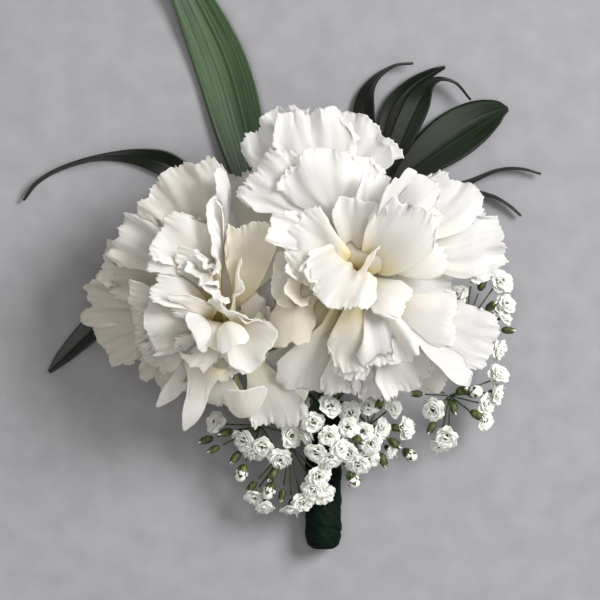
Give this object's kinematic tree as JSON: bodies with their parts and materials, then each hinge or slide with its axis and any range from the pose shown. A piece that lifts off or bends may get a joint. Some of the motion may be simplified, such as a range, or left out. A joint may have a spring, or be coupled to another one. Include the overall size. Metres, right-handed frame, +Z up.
{
  "type": "boutonniere",
  "caption": "Two white double carnations with long dark leaves and baby's breath, bound by a tape-wrapped stem, lying on its back.",
  "frame": {"origin": "middle of the underside of the whole box, on the surface that it lies on", "axes": "+Y from the taped end of the stem to the leaf tips, +Z up from the surface to the faces of the blooms"},
  "size_m": [0.1074, 0.1292, 0.045],
  "materials": {
    "white_petal": "matte",
    "calyx": "satin",
    "carnation_stem": "satin",
    "ruscus_stem": "satin",
    "ruscus_leaf": "satin",
    "babys_breath": "matte",
    "floral_tape": "matte",
    "florist_wire": "satin"
  },
  "bodies": {
    "root": {"babys_breath_1": "babys_breath", "babys_breath_2": "babys_breath", "babys_breath_3": "babys_breath", "babys_breath_4": "babys_breath", "babys_breath_5": "babys_breath", "calyx_left": "calyx", "calyx_right": "calyx", "floral_tape": "floral_tape", "florist_wire_left": "florist_wire", "florist_wire_right": "florist_wire", "flower_stem_left": "carnation_stem", "flower_stem_right": "carnation_stem", "leaf_broad": "ruscus_leaf", "leaf_left": "ruscus_leaf", "leaf_lower_left": "ruscus_leaf", "leaf_right_lower": "ruscus_leaf", "leaf_right_upper": "ruscus_leaf", "leaf_top": "ruscus_leaf", "leaf_upper_hooked": "ruscus_leaf", "leaf_upper_middle": "ruscus_leaf", "leaf_upper_narrow": "ruscus_leaf", "petal_left_guard_1": "white_petal", "petal_left_guard_2": "white_petal", "petal_left_guard_3": "white_petal", "petal_left_guard_4": "white_petal", "petal_left_heart_1": "white_petal", "petal_left_heart_2": "white_petal", "petal_left_heart_3": "white_petal", "petal_left_inner_1": "white_petal", "petal_left_inner_2": "white_petal", "petal_left_inner_3": "white_petal", "petal_left_inner_4": "white_petal", "petal_left_middle_1": "white_petal", "petal_left_middle_2": "white_petal", "petal_left_middle_3": "white_petal", "petal_left_middle_4": "white_petal", "petal_right_guard_1": "white_petal", "petal_right_guard_2": "white_petal", "petal_right_guard_3": "white_petal", "petal_right_guard_4": "white_petal", "petal_right_guard_5": "white_petal", "petal_right_heart_1": "white_petal", "petal_right_heart_2": "white_petal", "petal_right_heart_3": "white_petal", "petal_right_inner_1": "white_petal", "petal_right_inner_2": "white_petal", "petal_right_inner_3": "white_petal", "petal_right_inner_4": "white_petal", "petal_right_middle_1": "white_petal", "petal_right_middle_2": "white_petal", "petal_right_middle_3": "white_petal", "petal_right_middle_4": "white_petal", "ruscus_stem_left": "ruscus_stem", "ruscus_stem_right": "ruscus_stem", "ruscus_stem_top": "ruscus_stem"}
  },
  "joints": []
}
